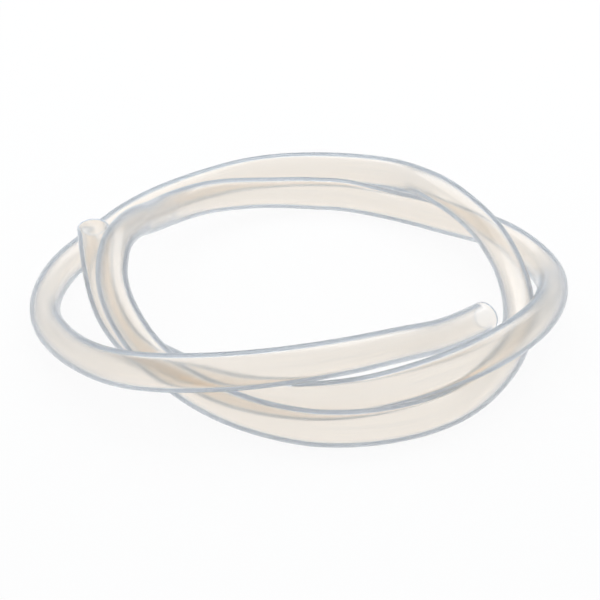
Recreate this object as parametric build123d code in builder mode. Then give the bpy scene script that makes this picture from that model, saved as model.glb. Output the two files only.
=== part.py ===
from build123d import *
import os
from math import cos, pi, radians, sin, tan

# Silicone tubing, loosely coiled and laid on a surface. Millimetres, +Z up.
# The origin is on the surface, under the middle of the coil.

# Tube
tube_outer_diameter = 12.7
tube_bore = 9.5

# Coil
coil_radius = 90.0
first_bearing = -21.0
bearing_step = 20.0
first_step = 16.0
last_step = 18.0
turns_middle_x = -2.6
turns_middle_y = 10.0

# Share of the shorter run that an arc takes at each corner of the route
arc_share = 0.45

# Stations of the route, one for each bearing step, clockwise from the end that lies inside the coil.
# Each is the reach beyond the coil's radius and the height of the tube's middle, both in tube diameters:
# a height of 0.5 lies on the surface, and 1.5 lies on another strand.
first_turn = (
    (-0.70, 0.50), (-0.85, 0.70), (-0.45, 1.35), (0.50, 1.80), (1.50, 1.90), (1.85, 1.45),
    (1.25, 0.80), (1.00, 0.55), (0.40, 0.55), (-0.15, 0.50), (-0.10, 0.65), (0.15, 0.70),
    (0.60, 0.80), (0.55, 0.90), (0.00, 1.30), (-0.90, 1.80), (-0.60, 1.40), (-0.25, 0.95),
)
second_turn = (
    (0.35, 0.60), (1.20, 0.50), (2.30, 0.50), (2.40, 0.50), (1.55, 0.65), (0.50, 1.10),
    (-0.30, 2.05), (-1.35, 2.55), (-2.10, 2.35), (-1.60, 1.40), (-1.20, 0.90), (-0.90, 0.80),
    (-0.75, 0.55), (-0.70, 0.50), (-0.80, 0.50), (-0.40, 0.50), (0.30, 0.80), (1.00, 0.75),
)
last_half_turn = (
    (1.30, 1.30), (1.75, 1.70), (1.80, 1.50), (1.40, 0.95), (0.40, 0.50), (-0.40, 0.50),
    (-0.65, 0.50), (-0.85, 1.20), (-0.90, 2.25),
)
stations = first_turn + second_turn + last_half_turn

# Bearing of each station: even steps, but for the first and the last
bearings = [first_bearing - bearing_step * number for number in range(len(stations))]
bearings[0] = bearings[1] + first_step
bearings[-1] = bearings[-2] - last_step

route = []
for bearing, (lane, level) in zip(bearings, stations):
    reach = coil_radius + lane * tube_outer_diameter
    x = turns_middle_x + reach * cos(radians(bearing))
    y = turns_middle_y + reach * sin(radians(bearing))
    route.append(Vector(x, y, level * tube_outer_diameter))

# Each bend is as large as the runs beside it allow
bend_radii = []
for before, corner, after in zip(route, route[1:], route[2:]):
    run_in = corner - before
    run_out = after - corner
    half_turn = radians(run_in.get_angle(run_out)) / 2
    shorter_run = min(run_in.length, run_out.length)
    bend_radii.append(arc_share * shorter_run / tan(half_turn))

# One extruded tube, cut square at both ends
with BuildPart() as silicone_tube:
    with BuildLine() as centre_line:
        FilletPolyline(*route, radius=bend_radii)
    with BuildSketch(Plane(origin=route[0], z_dir=route[1] - route[0])) as section:
        Circle(tube_outer_diameter / 2)
        Circle(tube_bore / 2, mode=Mode.SUBTRACT)
    sweep()

tube_length = centre_line.wires()[0].length
section_area = pi * (tube_outer_diameter**2 - tube_bore**2) / 4
print(f"length {tube_length:.1f} mm, {len(route)} points, bend radii")
print(", ".join(f"{bend_radius:.0f}" for bend_radius in bend_radii))
print(f"volume {silicone_tube.part.volume:.1f} mm3, section x length {section_area * tube_length:.1f} mm3")
box = silicone_tube.part.bounding_box()
print(f"box {box.min} to {box.max}")

silicone_tube.part.label = "silicone_tube"
os.makedirs("parts", exist_ok=True)
export_step(silicone_tube.part, "parts/silicone_tube.step")
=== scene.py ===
"""Looks of a loose coil of translucent silicone tubing, in metres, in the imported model's frame."""

import logging
import math
from dataclasses import dataclass
from enum import Enum

import bmesh
import bpy
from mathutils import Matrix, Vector
from mathutils.kdtree import KDTree


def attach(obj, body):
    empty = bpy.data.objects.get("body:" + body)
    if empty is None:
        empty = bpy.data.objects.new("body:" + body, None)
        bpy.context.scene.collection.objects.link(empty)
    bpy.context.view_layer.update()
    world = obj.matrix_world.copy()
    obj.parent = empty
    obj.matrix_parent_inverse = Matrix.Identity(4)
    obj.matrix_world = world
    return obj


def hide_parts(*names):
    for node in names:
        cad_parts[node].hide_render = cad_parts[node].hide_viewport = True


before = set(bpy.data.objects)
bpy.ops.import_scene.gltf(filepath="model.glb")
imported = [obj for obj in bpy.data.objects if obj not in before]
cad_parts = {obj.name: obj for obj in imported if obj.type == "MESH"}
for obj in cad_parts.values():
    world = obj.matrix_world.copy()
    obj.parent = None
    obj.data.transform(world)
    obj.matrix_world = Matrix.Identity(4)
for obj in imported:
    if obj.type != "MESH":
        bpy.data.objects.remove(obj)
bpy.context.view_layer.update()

log = logging.getLogger("silicone_tubing_coil")

Colour = tuple[float, float, float, float]
Stations = tuple[tuple[float, float], ...]

MILLIMETRE = 0.001
UP = Vector((0.0, 0.0, 1.0))
WHITE: Colour = (1.0, 1.0, 1.0, 1.0)


class MapName(Enum):
    """Names of the maps on the tubing's mesh that its material reads."""

    ROUND_AND_ALONG = "round_and_along"
    OUTER_WALL = "outer_wall"


class WallMark(Enum):
    """Values of the map that tells the tube's walls apart."""

    BORE_OR_CUT = 0.0
    OUTER = 1.0


@dataclass
class TubeRoute:
    """The line that the tube's middle follows, as stations round the coil, clockwise seen from above.

    Each station is the reach beyond the coil's radius and the height, both in tube diameters.
    """

    tube_diameter: float = 12.7 * MILLIMETRE
    coil_radius: float = 90.0 * MILLIMETRE
    first_bearing: float = -21.0
    bearing_step: float = 20.0
    first_step: float = 16.0
    last_step: float = 18.0
    turns_middle: tuple[float, float] = (-2.6 * MILLIMETRE, 10.0 * MILLIMETRE)
    points_per_station: int = 12
    first_turn: Stations = (
        (-0.70, 0.50), (-0.85, 0.70), (-0.45, 1.35), (0.50, 1.80), (1.50, 1.90), (1.85, 1.45),
        (1.25, 0.80), (1.00, 0.55), (0.40, 0.55), (-0.15, 0.50), (-0.10, 0.65), (0.15, 0.70),
        (0.60, 0.83), (0.55, 0.94), (0.00, 1.31), (-0.90, 1.80), (-0.60, 1.40), (-0.25, 0.95),
    )
    second_turn: Stations = (
        (0.35, 0.60), (1.20, 0.50), (2.30, 0.50), (2.40, 0.50), (1.55, 0.65), (0.50, 1.10),
        (-0.30, 2.05), (-1.35, 2.55), (-2.08, 2.35), (-2.24, 1.75), (-1.83, 1.30), (-1.35, 1.00),
        (-1.19, 0.75), (-0.70, 0.50), (-0.80, 0.50), (-0.40, 0.50), (0.30, 0.80), (1.00, 0.75),
    )
    last_half_turn: Stations = (
        (1.30, 1.30), (1.75, 1.70), (1.80, 1.50), (1.40, 0.95), (0.40, 0.50), (-0.40, 0.50),
        (-0.65, 0.50), (-0.85, 1.20), (-0.90, 2.25),
    )

    def points(self) -> list[Vector]:
        """Work out the route's points from the stations.

        Returns:
            The points, from the end inside the coil to the raised end.
        """
        stations = self.first_turn + self.second_turn + self.last_half_turn
        bearings = [self.first_bearing - self.bearing_step * number for number in range(len(stations))]
        bearings[0] = bearings[1] + self.first_step
        bearings[-1] = bearings[-2] - self.last_step
        points = []
        for bearing, (lane, level) in zip(bearings, stations):
            reach = self.coil_radius + lane * self.tube_diameter
            x = self.turns_middle[0] + reach * math.cos(math.radians(bearing))
            y = self.turns_middle[1] + reach * math.sin(math.radians(bearing))
            points.append(Vector((x, y, level * self.tube_diameter)))
        return points

    def smooth_line(self) -> list[Vector]:
        """Read the points of the smooth curve that the route's points control.

        Returns:
            Points a few millimetres apart, end to end.
        """
        points = self.points()
        data = bpy.data.curves.new("tube_route", "CURVE")
        data.dimensions = "3D"
        spline = data.splines.new("NURBS")
        spline.points.add(len(points) - 1)
        for control, point in zip(spline.points, points):
            control.co = (*point, 1.0)
        spline.order_u = 3
        spline.use_endpoint_u = True
        spline.resolution_u = self.points_per_station
        holder = bpy.data.objects.new("tube_route", data)
        bpy.context.collection.objects.link(holder)
        mesh = bpy.data.meshes.new_from_object(holder)
        line = [vertex.co.copy() for vertex in mesh.vertices]
        bpy.data.objects.remove(holder)
        bpy.data.meshes.remove(mesh)
        bpy.data.curves.remove(data)
        return line


@dataclass
class SiliconeTube:
    """One length of soft tubing, which flattens a little where it bends most."""

    route: TubeRoute
    bore: float = 9.5 * MILLIMETRE
    length: float = 1.44
    facets_round: int = 48

    # Flattening for each square of curvature, in square metres, and the share that it never passes
    softness: float = 600.0e-6
    most_flattening: float = 0.13

    # Spread of the average that is taken of the bend, in rings, and how many spreads it takes in
    bend_spread: int = 5
    bend_reach: int = 3

    # Rounding of the edges that are sharper than an angle, in degrees, and smooth shading below another
    rounding: float = 0.15 * MILLIMETRE
    rounding_segments: int = 2
    rounded_above: float = 50.0
    smooth_below: float = 40.0

    # Least share of a wall's direction that points away from the tube's middle, on the outer wall
    least_outwards: float = 0.5

    def bends(self, line: list[Vector]) -> list[Vector]:
        """Measure how the line bends at each point.

        Args:
            line: The line's points.

        Returns:
            One vector a point, towards the inside of the bend, as long as one over the bend's radius.
        """
        bends = []
        for number in range(len(line)):
            middle = min(max(number, 1), len(line) - 2)
            back = line[middle] - line[middle - 1]
            ahead = line[middle + 1] - line[middle]
            bends.append((ahead.normalized() - back.normalized()) * (2.0 / (ahead.length + back.length)))
        return bends

    def averaged(self, bends: list[Vector]) -> list[Vector]:
        """Average the bends along the line, with weights that fall off to both sides.

        Args:
            bends: One vector a point.

        Returns:
            One averaged vector a point.
        """
        reach = self.bend_reach * self.bend_spread
        averages = []
        for number in range(len(bends)):
            total, weights = Vector((0.0, 0.0, 0.0)), 0.0
            for step in range(-reach, reach + 1):
                place = min(max(number + step, 0), len(bends) - 1)
                weight = math.exp(-0.5 * (step / self.bend_spread) ** 2)
                total += bends[place] * weight
                weights += weight
            averages.append(total / weights)
        return averages

    def flattening(self, bend: Vector) -> float:
        """Return the share by which the tube is narrower in the plane of a bend."""
        wanted = self.softness * bend.length_squared
        return self.most_flattening * math.tanh(wanted / self.most_flattening)

    def section(self, middle: Vector, along: Vector, bend: Vector) -> list[Vector]:
        """Draw one ring of the outer wall, from its lowest point round.

        Args:
            middle: The ring's middle.
            along: The tube's direction there, one long.
            bend: The tube's bend there.

        Returns:
            The ring's points.
        """
        radius = self.route.tube_diameter / 2
        sideways = along.cross(UP).normalized()
        upwards = sideways.cross(along)
        inwards = (bend - along * bend.dot(along)).normalized()
        share = self.flattening(bend)
        ring = []
        for facet in range(self.facets_round):
            angle = 2 * math.pi * facet / self.facets_round - math.pi / 2
            spoke = (sideways * math.cos(angle) + upwards * math.sin(angle)) * radius
            spoke += (spoke - 2 * spoke.dot(inwards) * inwards) * share
            ring.append(middle + spoke)
        return ring

    def rings(self) -> tuple[list[Vector], list[list[Vector]]]:
        """Work out the outer wall's rings, none of which sinks into the surface below the coil.

        Returns:
            The rings' middles, and each ring's points.
        """
        line = self.route.smooth_line()
        middles, rings = [], []
        for number, (point, bend) in enumerate(zip(line, self.averaged(self.bends(line)))):
            ahead = line[min(number + 1, len(line) - 1)]
            back = line[max(number - 1, 0)]
            ring = self.section(point, (ahead - back).normalized(), bend)
            lift = UP * max(0.0, -min(corner.z for corner in ring))
            middles.append(point + lift)
            rings.append([corner + lift for corner in ring])
        return middles, rings

    def skin(self, middles: list[Vector], rings: list[list[Vector]]) -> bpy.types.Object:
        """Join the rings into an open skin with a map that runs round and along it, in metres.

        Args:
            middles: The rings' middles.
            rings: The rings' points.

        Returns:
            The skin's object.
        """
        shape = bmesh.new()
        vertices = [[shape.verts.new(corner) for corner in ring] for ring in rings]
        unwrapped = shape.loops.layers.uv.new(MapName.ROUND_AND_ALONG.value)
        travelled = [0.0]
        for before, after in zip(middles, middles[1:]):
            travelled.append(travelled[-1] + (after - before).length)
        round_step = math.pi * self.route.tube_diameter / self.facets_round
        for number in range(len(rings) - 1):
            for facet in range(self.facets_round):
                following = (facet + 1) % self.facets_round
                face = shape.faces.new((
                    vertices[number][facet], vertices[number + 1][facet],
                    vertices[number + 1][following], vertices[number][following],
                ))
                corners = ((facet, number), (facet, number + 1), (facet + 1, number + 1), (facet + 1, number))
                for loop, (around, along) in zip(face.loops, corners):
                    loop[unwrapped].uv = (around * round_step, travelled[along])
        bmesh.ops.recalc_face_normals(shape, faces=shape.faces)
        mesh = bpy.data.meshes.new("silicone_tubing")
        shape.to_mesh(mesh)
        shape.free()
        tube = bpy.data.objects.new("silicone_tubing", mesh)
        bpy.context.collection.objects.link(tube)
        return tube

    def thicken(self, tube: bpy.types.Object) -> None:
        """Give the skin its wall, round its cut edges and shade it smooth.

        Args:
            tube: The skin's object.
        """
        bpy.ops.object.select_all(action="DESELECT")
        bpy.context.view_layer.objects.active = tube
        tube.select_set(True)
        wall = tube.modifiers.new("wall", "SOLIDIFY")
        wall.thickness = (self.route.tube_diameter - self.bore) / 2
        wall.offset = -1.0
        wall.use_even_offset = True
        bpy.ops.object.modifier_apply(modifier=wall.name)
        edges = tube.modifiers.new("cut_edges", "BEVEL")
        edges.width = self.rounding
        edges.segments = self.rounding_segments
        edges.limit_method = "ANGLE"
        edges.angle_limit = math.radians(self.rounded_above)
        bpy.ops.object.modifier_apply(modifier=edges.name)
        bpy.ops.object.shade_smooth_by_angle(angle=math.radians(self.smooth_below))

    def mark_walls(self, tube: bpy.types.Object, middles: list[Vector]) -> None:
        """Give the mesh a map that tells its outer wall from its bore and cut faces.

        Args:
            tube: The tube's object.
            middles: The line that it follows.
        """
        line = KDTree(len(middles))
        for number, middle in enumerate(middles):
            line.insert(middle, number)
        line.balance()
        marks = tube.data.attributes.new(MapName.OUTER_WALL.value, "FLOAT", "POINT")
        for vertex, mark in zip(tube.data.vertices, marks.data):
            spoke = vertex.co - line.find(vertex.co)[0]
            outer = vertex.normal.dot(spoke) > self.least_outwards * spoke.length
            mark.value = WallMark.OUTER.value if outer else WallMark.BORE_OR_CUT.value

    def build(self) -> tuple[bpy.types.Object, list[Vector]]:
        """Make the tube with its wall and its square-cut ends.

        Returns:
            The tube's object, and the line that it follows.
        """
        middles, rings = self.rings()
        tube = self.skin(middles, rings)
        self.thicken(tube)
        self.mark_walls(tube, middles)
        return tube, middles

    def declare(self, tube: bpy.types.Object) -> None:
        """Tie the tube to the frame and hide the imported part that it stands in for.

        Args:
            tube: The tube's object.
        """
        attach(tube, "root")
        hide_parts("silicone_tube")


@dataclass(frozen=True)
class TranslucentSilicone:
    """Milky silicone: warm to look through, bluish where it scatters, grey where its bore mirrors light."""

    index: float = 1.41
    roughness: float = 0.17
    bore_tint: Colour = (1.0, 0.925, 0.83, 1.0)

    # Colours of the scattered light at the bore and at the outer wall, and the share of it that goes through
    edge_haze: Colour = (0.80, 0.87, 0.96, 1.0)
    haze: Colour = (0.65, 0.80, 1.0, 1.0)
    haze_through: float = 0.7

    # How milky the bore is where it mirrors fully, from which share of mirroring, and the outer wall
    edge_share: float = 0.76
    mirrored_from: float = 0.15
    haze_share: tuple[float, float] = (0.05, 0.09)

    # Extrusion lines
    streak_width: float = 0.6 * MILLIMETRE
    streak_length: float = 60.0 * MILLIMETRE
    streak_depth: float = 0.006 * MILLIMETRE
    streak_detail: float = 3.0
    streak_range: tuple[float, float] = (0.3, 0.7)

    def streaks(self, tree: bpy.types.NodeTree) -> bpy.types.NodeSocket:
        """Draw the faint lines that extrusion leaves along the tube.

        Args:
            tree: The material's node tree.

        Returns:
            An output from 0 to 1.
        """
        place = tree.nodes.new("ShaderNodeUVMap")
        place.uv_map = MapName.ROUND_AND_ALONG.value
        stretch = tree.nodes.new("ShaderNodeMapping")
        stretch.inputs["Scale"].default_value = (1.0 / self.streak_width, 1.0 / self.streak_length, 1.0)
        lines = tree.nodes.new("ShaderNodeTexNoise")
        lines.inputs["Scale"].default_value = 1.0
        lines.inputs["Detail"].default_value = self.streak_detail
        tree.links.new(place.outputs["UV"], stretch.inputs["Vector"])
        tree.links.new(stretch.outputs["Vector"], lines.inputs["Vector"])
        return lines.outputs["Fac"]

    def by_wall(
        self, tree: bpy.types.NodeTree, outer: bpy.types.NodeSocket, at_bore: Colour, at_outer: Colour
    ) -> bpy.types.NodeSocket:
        """Choose between two colours by the wall.

        Args:
            tree: The material's node tree.
            outer: Output that is 1 on the outer wall.
            at_bore: The colour on the bore and the cut faces.
            at_outer: The colour on the outer wall.

        Returns:
            The colour's output.
        """
        colour = tree.nodes.new("ShaderNodeMix")
        colour.data_type = "RGBA"
        colour.inputs["A"].default_value = at_bore
        colour.inputs["B"].default_value = at_outer
        tree.links.new(outer, colour.inputs["Factor"])
        return colour.outputs["Result"]

    def clear_part(
        self, tree: bpy.types.NodeTree, outer: bpy.types.NodeSocket, streaks: bpy.types.NodeSocket
    ) -> bpy.types.NodeSocket:
        """Make the share of the silicone that light passes straight through.

        Args:
            tree: The material's node tree.
            outer: Output that is 1 on the outer wall.
            streaks: Output with the extrusion lines.

        Returns:
            The shader's output.
        """
        lines = tree.nodes.new("ShaderNodeBump")
        lines.inputs["Strength"].default_value = 1.0
        lines.inputs["Distance"].default_value = self.streak_depth
        tree.links.new(streaks, lines.inputs["Height"])
        clear = tree.nodes["Principled BSDF"]
        clear.inputs["Roughness"].default_value = self.roughness
        clear.inputs["IOR"].default_value = self.index
        clear.inputs["Transmission Weight"].default_value = 1.0
        tree.links.new(self.by_wall(tree, outer, self.bore_tint, WHITE), clear.inputs["Base Color"])
        tree.links.new(lines.outputs["Normal"], clear.inputs["Normal"])
        return clear.outputs["BSDF"]

    def milky_part(self, tree: bpy.types.NodeTree, outer: bpy.types.NodeSocket) -> bpy.types.NodeSocket:
        """Make the share of the silicone that scatters light.

        Args:
            tree: The material's node tree.
            outer: Output that is 1 on the outer wall.

        Returns:
            The shader's output.
        """
        colour = self.by_wall(tree, outer, self.edge_haze, self.haze)
        thrown_back = tree.nodes.new("ShaderNodeBsdfDiffuse")
        let_through = tree.nodes.new("ShaderNodeBsdfTranslucent")
        both = tree.nodes.new("ShaderNodeMixShader")
        both.inputs["Fac"].default_value = self.haze_through
        tree.links.new(colour, thrown_back.inputs["Color"])
        tree.links.new(colour, let_through.inputs["Color"])
        tree.links.new(thrown_back.outputs["BSDF"], both.inputs[1])
        tree.links.new(let_through.outputs["BSDF"], both.inputs[2])
        return both.outputs["Shader"]

    def milky_share(
        self, tree: bpy.types.NodeTree, outer: bpy.types.NodeSocket, streaks: bpy.types.NodeSocket
    ) -> bpy.types.NodeSocket:
        """Work out how milky each place is: where the bore mirrors from inside, and a little all over.

        Args:
            tree: The material's node tree.
            outer: Output that is 1 on the outer wall.
            streaks: Output with the extrusion lines.

        Returns:
            An output from 0, clear, to 1, milky.
        """
        mirrored = tree.nodes.new("ShaderNodeFresnel")
        mirrored.inputs["IOR"].default_value = self.index
        side = tree.nodes.new("ShaderNodeNewGeometry")
        from_inside = tree.nodes.new("ShaderNodeMath")
        from_inside.operation = "MULTIPLY"
        edge = tree.nodes.new("ShaderNodeMapRange")
        edge.interpolation_type = "SMOOTHSTEP"
        edge.inputs["From Min"].default_value = self.mirrored_from
        edge.inputs["To Max"].default_value = self.edge_share
        all_over = tree.nodes.new("ShaderNodeMapRange")
        all_over.inputs["From Min"].default_value = self.streak_range[0]
        all_over.inputs["From Max"].default_value = self.streak_range[1]
        all_over.inputs["To Min"].default_value = self.haze_share[0]
        all_over.inputs["To Max"].default_value = self.haze_share[1]
        share = tree.nodes.new("ShaderNodeMix")
        tree.links.new(mirrored.outputs["Fac"], from_inside.inputs[0])
        tree.links.new(side.outputs["Backfacing"], from_inside.inputs[1])
        tree.links.new(from_inside.outputs["Value"], edge.inputs["Value"])
        tree.links.new(streaks, all_over.inputs["Value"])
        tree.links.new(outer, share.inputs["Factor"])
        tree.links.new(edge.outputs["Result"], share.inputs["A"])
        tree.links.new(all_over.outputs["Result"], share.inputs["B"])
        return share.outputs["Result"]

    def material(self) -> bpy.types.Material:
        """Mix the clear and the milky share into one material.

        Returns:
            The material.
        """
        made = bpy.data.materials.new("translucent_silicone")
        made.use_nodes = True
        tree = made.node_tree
        wall = tree.nodes.new("ShaderNodeAttribute")
        wall.attribute_name = MapName.OUTER_WALL.value
        outer = wall.outputs["Fac"]
        streaks = self.streaks(tree)
        whole = tree.nodes.new("ShaderNodeMixShader")
        tree.links.new(self.milky_share(tree, outer, streaks), whole.inputs["Fac"])
        tree.links.new(self.clear_part(tree, outer, streaks), whole.inputs[1])
        tree.links.new(self.milky_part(tree, outer), whole.inputs[2])
        tree.links.new(whole.outputs["Shader"], tree.nodes["Material Output"].inputs["Surface"])
        return made


@dataclass(frozen=True)
class WhiteFloor:
    """Matt pale floor that looks white, straight and through the tube, and keeps a soft shadow."""

    paleness: Colour = (0.85, 0.85, 0.85, 1.0)
    white_seen_straight: float = 0.93

    def white_share(self, tree: bpy.types.NodeTree) -> bpy.types.NodeSocket:
        """Work out the share of plain white: nearly all of it straight, all of it in and through the tube.

        Args:
            tree: The material's node tree.

        Returns:
            An output from 0 to 1.
        """
        rays = tree.nodes.new("ShaderNodeLightPath")
        straight = tree.nodes.new("ShaderNodeMath")
        straight.operation = "MULTIPLY"
        straight.inputs[1].default_value = self.white_seen_straight
        by_tube = tree.nodes.new("ShaderNodeMath")
        by_tube.operation = "MAXIMUM"
        share = tree.nodes.new("ShaderNodeMath")
        share.operation = "MAXIMUM"
        tree.links.new(rays.outputs["Is Camera Ray"], straight.inputs[0])
        tree.links.new(rays.outputs["Is Glossy Ray"], by_tube.inputs[0])
        tree.links.new(rays.outputs["Is Transmission Ray"], by_tube.inputs[1])
        tree.links.new(straight.outputs[0], share.inputs[0])
        tree.links.new(by_tube.outputs[0], share.inputs[1])
        return share.outputs[0]

    def material(self) -> bpy.types.Material:
        """Mix the matt floor and its plain white.

        Returns:
            The material.
        """
        made = bpy.data.materials.new("white_floor")
        made.use_nodes = True
        tree = made.node_tree
        tree.nodes.clear()
        matt = tree.nodes.new("ShaderNodeBsdfDiffuse")
        matt.inputs["Color"].default_value = self.paleness
        white = tree.nodes.new("ShaderNodeEmission")
        mix = tree.nodes.new("ShaderNodeMixShader")
        output = tree.nodes.new("ShaderNodeOutputMaterial")
        tree.links.new(self.white_share(tree), mix.inputs[0])
        tree.links.new(matt.outputs[0], mix.inputs[1])
        tree.links.new(white.outputs[0], mix.inputs[2])
        tree.links.new(mix.outputs[0], output.inputs["Surface"])
        return made


@dataclass
class Studio:
    """A pale floor, a plain room, a soft lamp above and behind, and the camera."""

    target: tuple[float, float, float] = (0.3 * MILLIMETRE, 2.0 * MILLIMETRE, 0.0)
    distance: float = 738.0 * MILLIMETRE
    elevation: float = 28.0
    sensor_width: float = 36.0
    lens: float = 111.2
    seen_from_to: tuple[float, float] = (0.01, 50.0)

    floor_size: float = 6.0
    floor_finish: WhiteFloor = WhiteFloor()

    room_colour: Colour = (0.90, 0.95, 1.00, 1.0)
    room_strength: float = 0.73
    lamp_place: tuple[float, float, float] = (0.04, 0.40, 0.58)
    lamp_size: tuple[float, float] = (1.0, 0.6)
    lamp_power: float = 3.1

    def place(self, name: str, data: bpy.types.ID, place: Vector, towards: Vector) -> bpy.types.Object:
        """Put a camera or a lamp into the scene.

        Args:
            name: The object's name.
            data: The camera's or the lamp's data.
            place: Where it stands.
            towards: The direction in which it points.

        Returns:
            The object.
        """
        made = bpy.data.objects.new(name, data)
        bpy.context.collection.objects.link(made)
        made.location = place
        made.rotation_mode = "QUATERNION"
        made.rotation_quaternion = towards.to_track_quat("-Z", "Y")
        return made

    def camera(self) -> None:
        """Put the camera at the photograph's viewing angle."""
        tilt = math.radians(self.elevation)
        back = Vector((0.0, -math.cos(tilt), math.sin(tilt)))
        data = bpy.data.cameras.new("camera")
        data.sensor_width = self.sensor_width
        data.lens = self.lens
        data.clip_start, data.clip_end = self.seen_from_to
        place = Vector(self.target) + back * self.distance
        bpy.context.scene.camera = self.place("camera", data, place, -back)

    def floor(self) -> None:
        """Lay the floor."""
        bpy.ops.object.select_all(action="DESELECT")
        bpy.ops.mesh.primitive_plane_add(size=self.floor_size)
        plane = bpy.context.object
        plane.name = "floor"
        plane.data.materials.append(self.floor_finish.material())

    def lights(self) -> None:
        """Light the coil softly, from the room and from the lamp."""
        world = bpy.data.worlds.new("room")
        world.use_nodes = True
        room = world.node_tree.nodes["Background"]
        room.inputs["Color"].default_value = self.room_colour
        room.inputs["Strength"].default_value = self.room_strength
        bpy.context.scene.world = world
        lamp = bpy.data.lights.new("softbox", "AREA")
        lamp.shape = "RECTANGLE"
        lamp.size, lamp.size_y = self.lamp_size
        lamp.energy = self.lamp_power
        place = Vector(self.lamp_place)
        self.place("softbox", lamp, place, -place)

    def build(self) -> None:
        """Make the whole studio."""
        bpy.context.scene.view_settings.view_transform = "Standard"
        self.floor()
        self.lights()
        self.camera()


def main() -> None:
    """Build the tube, dress it and set the studio round it."""
    logging.basicConfig(level=logging.INFO, format="%(name)s: %(message)s")
    maker = SiliconeTube(TubeRoute())
    tube, middles = maker.build()
    tube.data.materials.append(TranslucentSilicone().material())
    maker.declare(tube)
    log.info("silicone tubing: %d rings, %d faces", len(middles), len(tube.data.polygons))
    Studio().build()
    log.info("studio: floor, softbox and camera")


if __name__ == "__main__":
    main()
